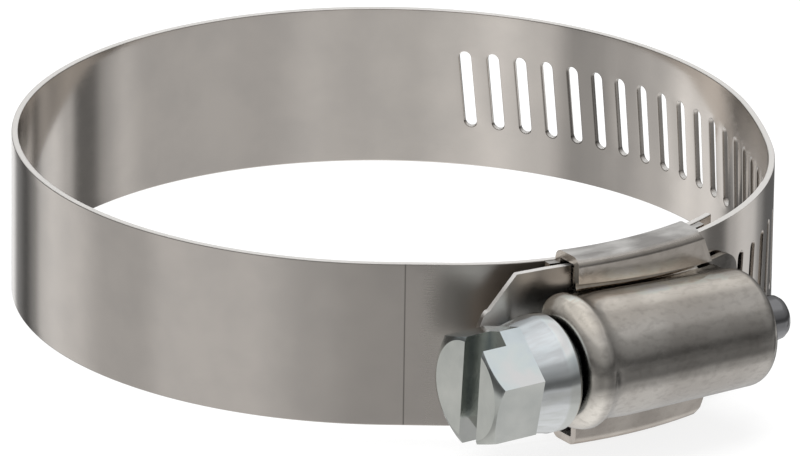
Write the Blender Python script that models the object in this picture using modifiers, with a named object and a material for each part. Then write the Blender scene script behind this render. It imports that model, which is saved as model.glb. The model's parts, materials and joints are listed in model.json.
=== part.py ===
"""Worm-drive hose clamp: slotted stainless band, formed housing, saddle and collared hex screw.

The band lies round a vertical (Z) bore with the housing on the -Y side and the screw head
toward -X.  The band is one steel strip on the real clamp; here it is cut into rigid lengths
that hinge about vertical axes, so that it can close the way the thin strip flexes.
"""
import math
import bmesh
import bpy
from mathutils import Matrix, Vector

MM = 0.001

# ---- driving dimensions, millimetres and degrees ----
BAND_H = 12.7            # half-inch band
BAND_T = 0.5
LOOP_R = 28.4            # outer face of the round part of the loop
APEX = 31.3              # bore centre to the outer face of the strip under the worm
STRIP_R = 26.3           # outer face of the strip where it runs through the housing
PITCH = 2.27             # slot pitch and lead of the worm
STRIP_PITCHES = 12.5     # strip length right of the worm, in slot pitches
LINK_PITCHES = 9         # slot pitches carried by each of the two slotted links
SLOTTED_LINKS = 2
PLAIN_LINKS = 5
SLOT_L = 6.1
SLOT_W = 0.95
FIRST_SLOT = -2          # slot number nearest the tail end; slot 0 is under the worm
SLOT_PHASE = -0.80       # slot 0 lies this far past the worm centre
TAIL_ARC = 6.0           # curved part of the tail, left of the worm
TAIL_KICK = 3.5          # degrees the tail bends back outward
TAIL_BEND = 10.0         # radius of that bend
TAIL_LEN = 12.4          # worm centre to the tail end
TAIL_CHAMFER = 2.5       # corners cut off the tail end
TURN = 34.5              # degrees the fixed end turns between the loop and the saddle
LAYER = 0.25             # clearance between stacked layers
JOINT_GAP = 0.3
FIXED_PAST = 10.4        # fixed end reaches this far past the worm centre

AXIS_OUT = 34.75         # bore centre to the screw axis
AXIS_UP = 0.3            # screw axis above the middle of the band
WORM_R = 3.65
ROOT_R = 2.75
WORM_X0 = -6.5
WORM_X1 = 6.2
NECK_R = 2.55
DOME_R0 = 4.8            # round of the housing at its front end
DOME_R1 = 4.4            # and at its rear end
DOME_UP0 = 0.65          # its centre line leans: above the middle of the band at the front
DOME_UP1 = 0.2           # and at the rear
DOME_LIP = 0.3           # swelling to a lip near the front end
DOME_WRAP = 120.0        # degrees the round of the housing wraps each side of its crown
WALL = 0.5
HOUSE_X0 = -8.4
HOUSE_X1 = 8.5
END_ROUND = 1.2
NECK_HOLE_R = 2.85
TIP_HOLE_R = 2.05
OPEN_X = -6.4            # left of this the housing does not reach down to the strip
FOOT_X0 = -5.0
FOOT_X1 = 6.2
FOOT_HALF = 6.25
FOOT_FILLET = 0.3
HEEL_X1 = 11.2           # low rounded foot right of the tabs
HEEL_HALF = 4.2
TAB_X0 = -5.2
TAB_X1 = 5.8
TAB_SKEW = 1.1           # free edge of each tab runs this much further right
TAB_LEG = 1.65           # folded leg, from the middle of the web
TAB_GAP = 0.4
TAB_BEND = 0.5
SADDLE_T = 0.6
SADDLE_X0 = -6.0
SADDLE_X1 = 8.4
HEAD_AF = 7.94
HEAD_X0 = -16.75
COLLAR_X0 = -13.3
COLLAR_X1 = -9.3
COLLAR_R = 4.4
COLLAR_CONE = 2.5        # length of the cone between the hexagon and the collar
HEX_TURN = 17.0
DRIVE_W = 2.1
DRIVE_D = 2.2
DRIVE_TURN = 85.0
TIP_X = 11.6
TIP_R = 1.7

BRIGHT_BAND = ((0.56, 0.54, 0.52), 0.28)      # colour and roughness
PRESSED_STEEL = ((0.50, 0.48, 0.46), 0.34)
ZINC_PLATE = ((0.60, 0.63, 0.66), 0.24)

ZC = BAND_H / 2
AXIS_Z = ZC + AXIS_UP
MEAN = BAND_T / 2


# ---- small helpers ----
def rad(a):
    return math.radians(a)


def normal(t):
    """Outward direction where the band runs at heading t."""
    return (math.sin(t), -math.cos(t))


def heading(t):
    return (math.cos(t), math.sin(t))


def walk(start, t, stretches, s):
    """Point and heading a length s along stretches of (radius, length); radius 0 is straight."""
    x, y = start
    for radius, length in stretches:
        step = min(s, length)
        if radius == 0:
            x += heading(t)[0] * step
            y += heading(t)[1] * step
        else:
            a = step / radius
            x += radius * (normal(t + a)[0] - normal(t)[0])
            y += radius * (normal(t + a)[1] - normal(t)[1])
            t += a
        s -= step
        if s <= 1e-9:
            break
    return (x, y), t


def spread(a, b, count):
    """Evenly spaced values from a to b, both included."""
    return [a + (b - a) * i / count for i in range(count + 1)]


# ---- the run of the band, middle of its thickness ----
STRIP_M = STRIP_R - MEAN
LOOP_M = LOOP_R - MEAN
CENTRE = APEX - STRIP_R                      # strip arc centre lies this far toward -Y
STRIP_END = STRIP_PITCHES * PITCH + SLOT_PHASE
END_T = STRIP_END / STRIP_M
SLANT = PITCH / (2 * math.pi * (AXIS_OUT - APEX))

# one long arc eases the strip into the round part of the loop
DIFF = LOOP_M - STRIP_M
EASE_D = (DIFF ** 2 - CENTRE ** 2) / (2 * DIFF - 2 * CENTRE * math.cos(END_T))
EASE_R = STRIP_M + EASE_D
EASE_C = (-EASE_D * normal(END_T)[0], -CENTRE - EASE_D * normal(END_T)[1])
LOOP_T = math.atan2(-EASE_C[0], EASE_C[1])

FIXED_M = APEX - 2 * BAND_T - 2 * LAYER - MEAN   # middle of the fixed end at the worm
COS_TURN = math.cos(rad(TURN))
TURN_R = (LOOP_M - FIXED_M * COS_TURN) / (1 - COS_TURN)
TURN_C = -(FIXED_M - TURN_R)
LOOP_OUT = (LOOP_M * normal(-rad(TURN))[0], LOOP_M * normal(-rad(TURN))[1])
TURN_IN = (TURN_R * normal(-rad(TURN))[0], TURN_C + TURN_R * normal(-rad(TURN))[1])
STRAIGHT = math.dist(LOOP_OUT, TURN_IN)
UNDER_R = STRIP_M - 2 * (BAND_T + LAYER)     # right of the worm it follows the strip

CHAIN = [
    (EASE_R, EASE_R * (LOOP_T - END_T)),
    (LOOP_M, LOOP_M * (2 * math.pi - rad(TURN) - LOOP_T)),
    (0, STRAIGHT),
    (TURN_R, TURN_R * rad(TURN)),
    (UNDER_R, FIXED_PAST),
]
FIXED_S = CHAIN[0][1] + CHAIN[1][1] + STRAIGHT / 2
CHAIN_END = sum(length for radius, length in CHAIN)


def on_arc(s):
    t = s / STRIP_M
    return (STRIP_M * normal(t)[0], -CENTRE + STRIP_M * normal(t)[1]), t


def on_chain(s):
    """Point and heading a length s past the strip end, going round to the fixed end."""
    if s < 0:
        return on_arc(STRIP_END + s)
    start, t = on_arc(STRIP_END)
    return walk(start, t, CHAIN, s)


def on_strip(s):
    """Point and heading on the strip; s is 0 under the worm and positive toward the loop."""
    if s >= -TAIL_ARC:
        return on_arc(s)
    p, t = on_arc(-TAIL_ARC)
    back = -TAIL_ARC - s
    step = min(back, TAIL_BEND * rad(TAIL_KICK))
    a = step / TAIL_BEND
    x = p[0] - TAIL_BEND * (normal(t + a)[0] - normal(t)[0])
    y = p[1] - TAIL_BEND * (normal(t + a)[1] - normal(t)[1])
    t += a
    rest = back - step
    return (x - heading(t)[0] * rest, y - heading(t)[1] * rest), t


# ---- mesh helpers ----
def collection(name):
    coll = bpy.data.collections.new(name)
    bpy.context.scene.collection.children.link(coll)
    return coll


def new_object(name, bm, coll):
    mesh = bpy.data.meshes.new(name)
    bm.to_mesh(mesh)
    bm.free()
    obj = bpy.data.objects.new(name, mesh)
    coll.objects.link(obj)
    return obj


def face_out(bm):
    bmesh.ops.remove_doubles(bm, verts=bm.verts, dist=0.000002)
    bmesh.ops.recalc_face_normals(bm, faces=bm.faces)
    if bm.calc_volume(signed=True) < 0:
        bmesh.ops.reverse_faces(bm, faces=bm.faces)


def apply_modifiers(obj):
    depsgraph = bpy.context.evaluated_depsgraph_get()
    mesh = bpy.data.meshes.new_from_object(obj.evaluated_get(depsgraph))
    obj.modifiers.clear()
    old = obj.data
    obj.data = mesh
    bpy.data.meshes.remove(old)
    mesh.name = obj.name


def boolean(obj, cutter, operation):
    mod = obj.modifiers.new(operation.lower(), 'BOOLEAN')
    mod.operation = operation
    mod.object = cutter
    mod.solver = 'EXACT'
    apply_modifiers(obj)


def thicken(obj, thickness, offset):
    mod = obj.modifiers.new('thickness', 'SOLIDIFY')
    mod.thickness = thickness * MM
    mod.offset = offset
    mod.use_even_offset = True
    apply_modifiers(obj)


def grid_sheet(name, columns, rows, place, keep, coll):
    """Open sheet: a grid whose vertex (i, j) goes to place(i, j), in millimetres.

    Only the faces that keep(i, j) accepts stay; i and j are a face's low corner."""
    bm = bmesh.new()
    bmesh.ops.create_grid(bm, x_segments=columns, y_segments=rows, size=0.5)
    cell = {}
    for v in bm.verts:
        cell[v] = (round((v.co.x + 0.5) * columns), round((v.co.y + 0.5) * rows))
    drop = []
    for f in bm.faces:
        i = min(cell[v][0] for v in f.verts)
        j = min(cell[v][1] for v in f.verts)
        if not keep(i, j):
            drop.append(f)
    for v in bm.verts:
        v.co = Vector(place(*cell[v])) * MM
    bmesh.ops.delete(bm, geom=drop, context='FACES')
    bmesh.ops.recalc_face_normals(bm, faces=bm.faces)
    return new_object(name, bm, coll)


def whole(i, j):
    return True


def turned(name, profile, coll, sides=48):
    """Body turned about the screw's axis: profile is (x, radius) from the head toward the tip."""
    bm = bmesh.new()
    last = None
    for x, r in [(profile[0][0], 0.0)] + profile + [(profile[-1][0], 0.0)]:
        v = bm.verts.new((r * MM, 0, -x * MM))
        if last:
            bm.edges.new((last, v))
        last = v
    obj = new_object(name, bm, coll)
    mod = obj.modifiers.new('turn', 'SCREW')
    mod.axis = 'Z'
    mod.steps = sides
    mod.render_steps = sides
    mod.use_merge_vertices = True
    mod.merge_threshold = 0.000001
    mod.use_normal_calculate = True
    apply_modifiers(obj)
    lay_down(obj)
    return obj


def lay_down(obj):
    """Turn a body made about the Z axis so that its top points to -X, on the screw's axis."""
    place = Matrix.Translation(Vector((0, -AXIS_OUT, AXIS_Z)) * MM)
    place = place @ Matrix.Rotation(-math.pi / 2, 4, 'Y')
    bm = bmesh.new()
    bm.from_mesh(obj.data)
    bmesh.ops.transform(bm, matrix=place, verts=bm.verts)
    face_out(bm)
    bm.to_mesh(obj.data)
    bm.free()


def prism(name, sides, radius, x0, x1, angle, coll):
    """Cylinder or regular prism along the screw's axis."""
    bm = bmesh.new()
    bmesh.ops.create_cone(bm, cap_ends=True, segments=sides, radius1=radius * MM,
                          radius2=radius * MM, depth=(x1 - x0) * MM)
    place = Matrix.Translation(Vector(((x0 + x1) / 2, -AXIS_OUT, AXIS_Z)) * MM)
    place = place @ Matrix.Rotation(angle, 4, 'X') @ Matrix.Rotation(math.pi / 2, 4, 'Y')
    bmesh.ops.transform(bm, matrix=place, verts=bm.verts)
    face_out(bm)
    return new_object(name, bm, coll)


def block(name, low, high, coll, turn=None):
    """Box between two corners, turned by a matrix about the screw's axis if one is given."""
    bm = bmesh.new()
    low = Vector(low)
    high = Vector(high)
    size = Matrix.Diagonal(((high - low) * MM).to_4d())
    size[3][3] = 1.0
    bmesh.ops.create_cube(bm, size=1.0, matrix=Matrix.Translation((low + high) / 2 * MM) @ size)
    if turn:
        hub = Matrix.Translation(Vector((0, -AXIS_OUT, AXIS_Z)) * MM)
        bmesh.ops.transform(bm, matrix=hub @ turn @ hub.inverted(), verts=bm.verts)
    return new_object(name, bm, coll)


def set_origin(obj, point):
    """Move the object's origin to a point in millimetres without moving its surface."""
    shift = Vector(point) * MM - obj.location
    obj.data.transform(Matrix.Translation(-shift))
    obj.location = obj.location + shift


def smooth(obj, angle=32):
    obj.data.shade_smooth()
    obj.data.set_sharp_from_angle(angle=rad(angle))


def finish(obj, look):
    """Give the object its own metal."""
    colour, roughness = look
    mat = bpy.data.materials.new(obj.name + '_metal')
    mat.use_nodes = True
    shader = mat.node_tree.nodes['Principled BSDF']
    shader.inputs['Base Color'].default_value = (*colour, 1.0)
    shader.inputs['Roughness'].default_value = roughness
    shader.inputs['Metallic'].default_value = 1.0
    mat.diffuse_color = (*colour, 1.0)
    obj.data.materials.clear()
    obj.data.materials.append(mat)


# ---- band pieces: a flat plate, slotted, then bent along its path ----
def slot_cutters(first, last, coll):
    """Round-ended slots through a flat plate, leaning with the worm thread."""
    bm = bmesh.new()
    reach = SLOT_L / 2 - SLOT_W / 2
    for k in range(first, last + 1):
        made = bmesh.ops.create_cone(bm, cap_ends=True, segments=12, radius1=SLOT_W / 2 * MM,
                                     radius2=SLOT_W / 2 * MM, depth=4 * BAND_T * MM,
                                     matrix=Matrix.Rotation(math.pi / 2, 4, 'X'))
        for v in made['verts']:
            z = v.co.z / MM + (reach if v.co.z > 0 else -reach)
            v.co.x += (k * PITCH + SLOT_PHASE + z * SLANT) * MM
            v.co.z = (ZC + z) * MM
    return new_object('slots_%d' % first, bm, coll)


def band_piece(name, columns, slots, path, coll, cut):
    """Band from columns of (s, lean, inset): place along the band, slope and edge cut back."""
    def place(i, j):
        s, lean, inset = columns[i]
        z = inset + (BAND_H - 2 * inset) * j
        return (s + (z - ZC) * lean, 0, z)

    obj = grid_sheet(name, len(columns) - 1, 1, place, whole, coll)
    thicken(obj, BAND_T, 0)
    if slots:
        boolean(obj, slot_cutters(slots[0], slots[1], cut), 'DIFFERENCE')
    bm = bmesh.new()
    bm.from_mesh(obj.data)
    bmesh.ops.triangulate(bm, faces=bm.faces)
    for v in bm.verts:
        (x, y), t = path(v.co.x / MM)
        n = normal(t)
        side = -v.co.y / MM
        v.co = Vector((x + n[0] * side, y + n[1] * side, v.co.z / MM)) * MM
    face_out(bm)
    bm.to_mesh(obj.data)
    bm.free()
    smooth(obj)
    return obj


def plain_columns(s0, s1, lean0=0.0, lean1=0.0, width=2.2):
    count = max(1, round((s1 - s0) / width))
    return [(s, lean, 0.0) for s, lean in zip(spread(s0, s1, count), spread(lean0, lean1, count))]


def slot_columns(first, last):
    """Two column lines round every slot, well clear of it."""
    columns = []
    for k in range(first, last + 1):
        columns.append(((k - 0.5) * PITCH + SLOT_PHASE, SLANT, 0.0))
    columns.append(((last + 0.5) * PITCH + SLOT_PHASE, SLANT, 0.0))
    return columns


def shortened(columns, at_start, at_end):
    """Trim the outermost columns back to leave the gap of a flex joint."""
    first = columns[0]
    last = columns[-1]
    return ([(first[0] + at_start, first[1], first[2])] + columns[1:-1]
            + [(last[0] - at_end, last[1], last[2])])


def tail_columns():
    """Free end of the strip: corners cut off and the end rounded."""
    tip = -TAIL_LEN
    columns = []
    for a in spread(90, 0, 5):
        inset = TAIL_CHAMFER + 2.6 * (1 - math.cos(rad(a)))
        columns.append((tip + 0.9 * (1 - math.sin(rad(a))), 0.0, inset))
    columns.append((tip + 3.1, 0.0, 0.0))
    columns.append((tip + 4.0, SLANT / 2, 0.0))
    return columns


def build_strip(coll, cut):
    last = int(STRIP_PITCHES)
    columns = tail_columns() + shortened(slot_columns(FIRST_SLOT, last), 0, JOINT_GAP / 2)
    obj = band_piece('band_tail_strip', columns, (FIRST_SLOT, last), on_strip, coll, cut)
    set_origin(obj, (0, -CENTRE, ZC))
    return obj


def link_joint(i):
    """Length along the chain at joint i; joint 0 is the strip end."""
    slotted_len = LINK_PITCHES * PITCH
    if i <= SLOTTED_LINKS:
        return i * slotted_len
    start = SLOTTED_LINKS * slotted_len
    return start + (FIXED_S - start) * (i - SLOTTED_LINKS) / PLAIN_LINKS


def past_strip(s):
    return on_chain(s - STRIP_END)


def build_links(coll, cut):
    links = []
    half = JOINT_GAP / 2
    for i in range(SLOTTED_LINKS + PLAIN_LINKS):
        name = 'band_link_%d' % (i + 1)
        s0 = link_joint(i)
        s1 = link_joint(i + 1)
        if i < SLOTTED_LINKS:
            first = int(STRIP_PITCHES) + 1 + i * LINK_PITCHES
            last = first + LINK_PITCHES - 1
            columns = shortened(slot_columns(first, last), half, half)
            obj = band_piece(name, columns, (first, last), past_strip, coll, cut)
        else:
            lean = SLANT if i == SLOTTED_LINKS else 0.0
            obj = band_piece(name, plain_columns(s0 + half, s1 - half, lean), None, on_chain,
                             coll, cut)
        p = on_chain(s0)[0]
        set_origin(obj, (p[0], p[1], ZC))
        links.append(obj)
    return links


def build_fixed_end(coll, cut):
    columns = plain_columns(FIXED_S + JOINT_GAP / 2, CHAIN_END, width=1.2)
    obj = band_piece('band_fixed_end', columns, None, on_chain, coll, cut)
    p = on_chain(FIXED_S)[0]
    set_origin(obj, (p[0], p[1], ZC))
    return obj


# ---- saddle: curved sheet under the band with two edges folded over the housing feet ----
def arc_depth(x, radius):
    """Distance from the plane of the bore centre to an arc about the strip arc's centre."""
    return CENTRE + math.sqrt(radius * radius - x * x)


def arc_sheet(name, x0, x1, radius, edge, thickness, coll, steps=16):
    """Sheet curved like the strip, its outer face at radius; edge(x) is its low and high z."""
    xs = spread(x0, x1, steps)

    def place(i, j):
        return (xs[i], -arc_depth(xs[i], radius - thickness / 2), edge(xs[i])[j])

    obj = grid_sheet(name, steps, 1, place, whole, coll)
    thicken(obj, thickness, 0)
    return obj


def folded(points, bend, steps=4):
    """Centre line of a folded sheet: each inner corner becomes an arc of radius bend."""
    line = [Vector(points[0])]
    for a, p, b in zip(points, points[1:], points[2:]):
        p = Vector(p)
        u = (Vector(a) - p).normalized()
        v = (Vector(b) - p).normalized()
        centre = p + (u + v) * bend
        for f in spread(0, math.pi / 2, steps):
            line.append(centre - (v * math.cos(f) + u * math.sin(f)) * bend)
    line.append(Vector(points[-1]))
    return line


def tab_line(x):
    """Centre line of the C-shaped section in (n, z): leg, web, sheet, web, leg."""
    sheet = arc_depth(x, STRIP_R - BAND_T - LAYER) - SADDLE_T / 2
    leg = arc_depth(x, STRIP_R + 2 * LAYER + WALL + SADDLE_T / 2)
    hi = BAND_H + TAB_GAP + SADDLE_T / 2
    lo = BAND_H - hi
    return folded([(leg, hi - TAB_LEG), (leg, hi), (sheet, hi), (sheet, lo), (leg, lo),
                   (leg, lo + TAB_LEG)], TAB_BEND)


def build_saddle(coll, cut):
    xs = spread(TAB_X0, TAB_X1, 12)
    lines = [tab_line(x) for x in xs]
    count = len(lines[0]) - 1
    hi = BAND_H + TAB_GAP + SADDLE_T / 2

    def place(i, j):
        n, z = lines[i][j]
        free = 0.0
        if j in (0, count):
            free = TAB_SKEW * i / (len(xs) - 1)
        elif j in (1, count - 1):
            free = TAB_SKEW * i / (len(xs) - 1) * min(1.0, (hi - ZC - abs(z - ZC)) / TAB_LEG)
        return (xs[i] + free, -n, z)

    obj = grid_sheet('saddle', len(xs) - 1, count, place, whole, coll)
    thicken(obj, SADDLE_T, 0)
    sheet = arc_sheet('saddle_sheet', SADDLE_X0, SADDLE_X1, STRIP_R - BAND_T - LAYER,
                      lambda x: (0, BAND_H), SADDLE_T, cut)
    boolean(obj, sheet, 'UNION')
    smooth(obj)
    return obj


# ---- housing: one pressed sheet over the screw, down its sides and out to the feet ----
def dome(x):
    """Radius and height of the centre of the round part, which narrows and drops to the rear."""
    f = (x - HOUSE_X0) / (HOUSE_X1 - HOUSE_X0)
    lip = DOME_LIP * math.exp(-((x - HOUSE_X0 - 0.8) / 1.2) ** 2)
    return DOME_R0 + (DOME_R1 - DOME_R0) * f + lip, ZC + DOME_UP0 + (DOME_UP1 - DOME_UP0) * f


def housing_rows():
    """(x, radius, centre height) of the round from the neck hole along the body to the tip hole."""
    radius, up = dome(HOUSE_X0 + END_ROUND)
    rows = [(HOUSE_X0, NECK_HOLE_R, AXIS_Z)]
    for a in spread(0, 90, 5):
        rows.append((HOUSE_X0 + END_ROUND * (1 - math.cos(rad(a))),
                     radius - END_ROUND * (1 - math.sin(rad(a))), up))
    for x in [OPEN_X - 0.4, OPEN_X] + spread(FOOT_X0, FOOT_X1, 8):
        rows.append((x, *dome(x)))
    radius, up = dome(HOUSE_X1 - END_ROUND)
    for a in spread(0, 90, 5):
        rows.append((HOUSE_X1 - END_ROUND * (1 - math.sin(rad(a))),
                     radius - END_ROUND * (1 - math.cos(rad(a))), up))
    rows.append((HOUSE_X1, TIP_HOLE_R, AXIS_Z))
    return rows


def housing_section(x, radius, centre):
    """Outer face from one foot's edge over the round to the other: (n, z) points."""
    floor = arc_depth(x, STRIP_R + LAYER + WALL)
    neck = (AXIS_OUT + radius * math.cos(rad(DOME_WRAP)), radius * math.sin(rad(DOME_WRAP)))
    fillet = max(0.05, min(FOOT_FILLET, neck[0] - floor - 0.02))
    section = []
    for sign in (-1, 1):
        side = [(floor, ZC + sign * FOOT_HALF)]
        for a in spread(0, 90, 3):
            side.append((floor + fillet * (1 - math.cos(rad(a))),
                         centre + sign * (neck[1] + fillet * (1 - math.sin(rad(a))))))
        section += side[::-sign]
        if sign < 0:
            for a in spread(-DOME_WRAP, DOME_WRAP, 28):
                section.append((AXIS_OUT + radius * math.cos(rad(a)),
                                centre + radius * math.sin(rad(a))))
    return section


def build_housing(coll, cut):
    rows = housing_rows()
    sections = [housing_section(*row) for row in rows]
    width = len(sections[0]) - 1

    def place(i, j):
        n, z = sections[i][j]
        return (rows[i][0], -n, z)

    def keep(i, j):
        part = min(j, width - 1 - j)
        x = (rows[i][0] + rows[i + 1][0]) / 2
        if part < 4:
            return FOOT_X0 < x < FOOT_X1
        if part == 4:
            return OPEN_X < x < HOUSE_X1 - 0.01
        return True

    obj = grid_sheet('housing', len(rows) - 1, width, place, keep, coll)
    crown = min(obj.data.polygons, key=lambda p: p.center.y)
    thicken(obj, WALL, -1 if crown.normal.y < 0 else 1)

    def heel_edge(x):
        f = max(0.0, (x - HEEL_X1 + 2.0) / 2.0)
        half = HEEL_HALF - 1.6 * (1 - math.sqrt(max(0.0, 1 - f * f)))
        return (ZC - half, ZC + half)

    heel = arc_sheet('heel', FOOT_X1 - 0.15, HEEL_X1, STRIP_R + LAYER + WALL, heel_edge, WALL, cut)
    boolean(obj, heel, 'UNION')
    smooth(obj)
    return obj


# ---- screw ----
def build_screw(coll, cut):
    obj = turned('worm_screw', [
        (COLLAR_X0, COLLAR_R - 0.55), (COLLAR_X0 + COLLAR_CONE, COLLAR_R - 0.05),
        (COLLAR_X0 + COLLAR_CONE + 0.15, COLLAR_R), (COLLAR_X1 - 0.2, COLLAR_R),
        (COLLAR_X1, COLLAR_R - 0.2), (COLLAR_X1, NECK_R),
        (-7.4, NECK_R), (-7.2, ROOT_R), (6.9, ROOT_R), (7.3, 1.75), (TIP_X - 0.9, TIP_R),
        (TIP_X - 0.35, TIP_R * 0.86), (TIP_X, TIP_R * 0.5)], coll)
    boolean(obj, thread(cut), 'UNION')
    boolean(obj, hex_head(cut), 'UNION')
    drive = block('drive_slot', (HEAD_X0 - 1, -AXIS_OUT - DRIVE_W / 2, AXIS_Z - 6),
                  (HEAD_X0 + DRIVE_D, -AXIS_OUT + DRIVE_W / 2, AXIS_Z + 6), cut,
                  Matrix.Rotation(rad(90 - DRIVE_TURN), 4, 'X'))
    boolean(obj, drive, 'DIFFERENCE')
    smooth(obj)
    set_origin(obj, (0, -AXIS_OUT, AXIS_Z))
    return obj


def hex_head(cut):
    """Hexagon with its outer corners turned down."""
    corner = HEAD_AF / 2 / math.cos(math.pi / 6)
    hexagon = prism('hexagon', 6, corner, HEAD_X0, COLLAR_X0 + 0.5, rad(-HEX_TURN), cut)
    chamfer = turned('chamfer', [
        (HEAD_X0, corner - 0.85), (HEAD_X0 + 0.1, corner - 0.6), (HEAD_X0 + 0.25, corner - 0.3),
        (HEAD_X0 + 0.45, corner), (HEAD_X0 + 0.7, corner + 0.1), (COLLAR_X0 + 0.8, corner + 0.1)],
        cut)
    boolean(hexagon, chamfer, 'INTERSECT')
    return hexagon


def thread(cut):
    """Right-hand worm thread, lofted so that it fades at both ends.

    A crest faces the strip in the middle of slot 0."""
    count = round((WORM_X1 - WORM_X0) / PITCH * 28)
    base = ROOT_R - 0.25
    verts = []
    for x in spread(WORM_X0, WORM_X1, count):
        a = 2 * math.pi * (x - SLOT_PHASE) / PITCH
        fade = min(1.0, x - WORM_X0 + 0.12, WORM_X1 - x + 0.12)
        crest = ROOT_R + (WORM_R - ROOT_R) * fade
        for dx, r in ((-0.62, base), (-0.26, crest), (0.26, crest), (0.62, base)):
            verts.append((x + dx, -AXIS_OUT + r * math.cos(a), AXIS_Z + r * math.sin(a)))
    bm = bmesh.new()
    made = [bm.verts.new(Vector(v) * MM) for v in verts]
    for i in range(count):
        for j in range(4):
            k = (j + 1) % 4
            bm.faces.new((made[4 * i + j], made[4 * i + k], made[4 * i + 4 + k],
                          made[4 * i + 4 + j]))
    bm.faces.new(made[:4])
    bm.faces.new(made[-4:])
    face_out(bm)
    return new_object('thread', bm, cut)


# ---- put together ----
def settle(objects):
    """Shift everything so the origin is the middle of the bottom of the bounding box."""
    lo = Vector((1e9, 1e9, 1e9))
    hi = -lo
    for obj in objects:
        for v in obj.data.vertices:
            p = v.co + obj.location
            lo = Vector(map(min, lo, p))
            hi = Vector(map(max, hi, p))
    shift = Vector((-(lo.x + hi.x) / 2, -(lo.y + hi.y) / 2, -lo.z))
    for obj in objects:
        obj.location = obj.location + shift
    return shift


def main():
    for obj in list(bpy.data.objects):
        bpy.data.objects.remove(obj, do_unlink=True)
    part = collection('hose_clamp')
    cut = collection('cutters')
    band = [build_strip(part, cut)] + build_links(part, cut) + [build_fixed_end(part, cut)]
    pressed = [build_saddle(part, cut), build_housing(part, cut)]
    screw = build_screw(part, cut)
    for obj in band:
        finish(obj, BRIGHT_BAND)
    for obj in pressed:
        finish(obj, PRESSED_STEEL)
    finish(screw, ZINC_PLATE)
    for obj in cut.objects:
        obj.hide_render = True
        obj.display_type = 'WIRE'
    settle(band + pressed + [screw])
    bpy.context.view_layer.update()


main()
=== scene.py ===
import json
import math
import bmesh
import bpy
from mathutils import Matrix, Vector

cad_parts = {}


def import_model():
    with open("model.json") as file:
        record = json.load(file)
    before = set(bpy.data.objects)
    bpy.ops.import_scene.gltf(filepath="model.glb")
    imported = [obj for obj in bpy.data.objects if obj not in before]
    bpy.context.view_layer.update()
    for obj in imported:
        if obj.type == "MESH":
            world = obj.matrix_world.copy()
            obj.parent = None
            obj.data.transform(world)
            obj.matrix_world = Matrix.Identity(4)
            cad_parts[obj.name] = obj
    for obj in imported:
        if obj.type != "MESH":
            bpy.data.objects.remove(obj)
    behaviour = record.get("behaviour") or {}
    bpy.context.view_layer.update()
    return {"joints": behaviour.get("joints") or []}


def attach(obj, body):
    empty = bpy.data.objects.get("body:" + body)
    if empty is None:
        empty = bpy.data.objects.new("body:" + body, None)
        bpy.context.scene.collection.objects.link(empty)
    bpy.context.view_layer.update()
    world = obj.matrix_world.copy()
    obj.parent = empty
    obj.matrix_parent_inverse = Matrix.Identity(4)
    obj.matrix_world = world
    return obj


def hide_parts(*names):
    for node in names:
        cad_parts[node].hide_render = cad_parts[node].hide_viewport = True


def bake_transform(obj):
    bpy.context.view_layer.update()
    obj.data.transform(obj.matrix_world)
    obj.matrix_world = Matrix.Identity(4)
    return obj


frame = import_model()

# ---- driving dimensions, millimetres and degrees, as the clamp is designed ----
MM = 0.001
BAND_H = 12.7            # half-inch band
BAND_T = 0.5
LOOP_R = 28.4            # outer face of the round part of the loop
APEX = 31.3              # bore centre to the outer face of the strip under the worm
STRIP_R = 26.3           # outer face of the strip where it runs through the housing
PITCH = 2.27             # slot pitch and lead of the worm
STRIP_END = 27.575       # strip length right of the worm, to its first flex line
TURN = 34.5              # degrees the fixed end turns between the loop and the saddle
LAYER = 0.25             # clearance between stacked layers
FIXED_RUN = 10.4         # length of the fixed end that lies under the strip
FLEX_REACH = 9.0         # points a and b are found this far on both sides of a flex line
BAND_EDGE = 0.11         # rounding of the sheared edges
SLOT_L = 6.1
SLOT_W = 0.95
SLOT_PHASE = -0.80       # place of slot 0 along the strip
FIRST_SLOT = -2
LAST_SLOT = 30
TAIL_LEN = 12.4          # free end past the middle of the worm
TAIL_ARC = 6.0           # how much of it still lies on the strip's arc
TAIL_BEND_R = 10.0       # radius of the bend that follows
TAIL_KICK = 3.5          # and how many degrees it turns
CORNER_LENGTH = 2.15     # cut corners of its end, along the strip
CORNER_CUT = 2.5         # and across it
NOSE_LENGTH = 0.95       # rounded nose between the corners, along the strip
NOSE_CUT = 2.6           # and across it
TAIL_FLAT = 2.0          # the top edge starts to lean out this far past the worm's middle
TAIL_LEAN = 0.55         # how far it leans out at the very end
AXIS_OUT = 34.75         # bore centre to the screw axis
AXIS_UP = 0.3            # screw axis above the middle of the band
WORM_R = 3.65
ROOT_R = 2.75
THREAD_X0 = -6.5
THREAD_X1 = 6.2
HEAD_AF = 7.94           # hexagon across flats, 5/16 in
HEAD_X0 = -16.75
COLLAR_X0 = -13.3
COLLAR_X1 = -9.3
COLLAR_R = 4.4
COLLAR_CONE = 2.5        # length of the cone between the hexagon and the collar
NECK_R = 2.55
HEX_TURN = 17.0          # degrees the hexagon is turned about the screw's axis
DRIVE_W = 2.1            # screwdriver slot
DRIVE_D = 2.2
DRIVE_TURN = 86.0
DRIVE_OFF = 0.6          # the slot is cut this far off the head's middle
TIP_X = 11.6
TIP_R = 1.7
DOME_R0 = 4.8            # round of the housing at its front end
DOME_R1 = 4.4            # and at its rear end
DOME_UP0 = 0.65          # its centre line leans: above the middle of the band at the front
DOME_UP1 = 0.2           # and at the rear
DOME_WRAP = 120.0        # degrees the round reaches down on each side
LIP = (0.42, 1.2, 0.9)   # rolled lip: height, distance from the front, width
WAIST = (-0.10, 3.3, 1.1)
SHOULDER = 1.7           # rounding of the front end
REAR_BEND = 1.1          # rounding of the rear end
NECK_HOLE_R = 2.85
TIP_HOLE_R = 2.05
WALL = 0.5
HOUSE_X0 = -8.8
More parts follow.
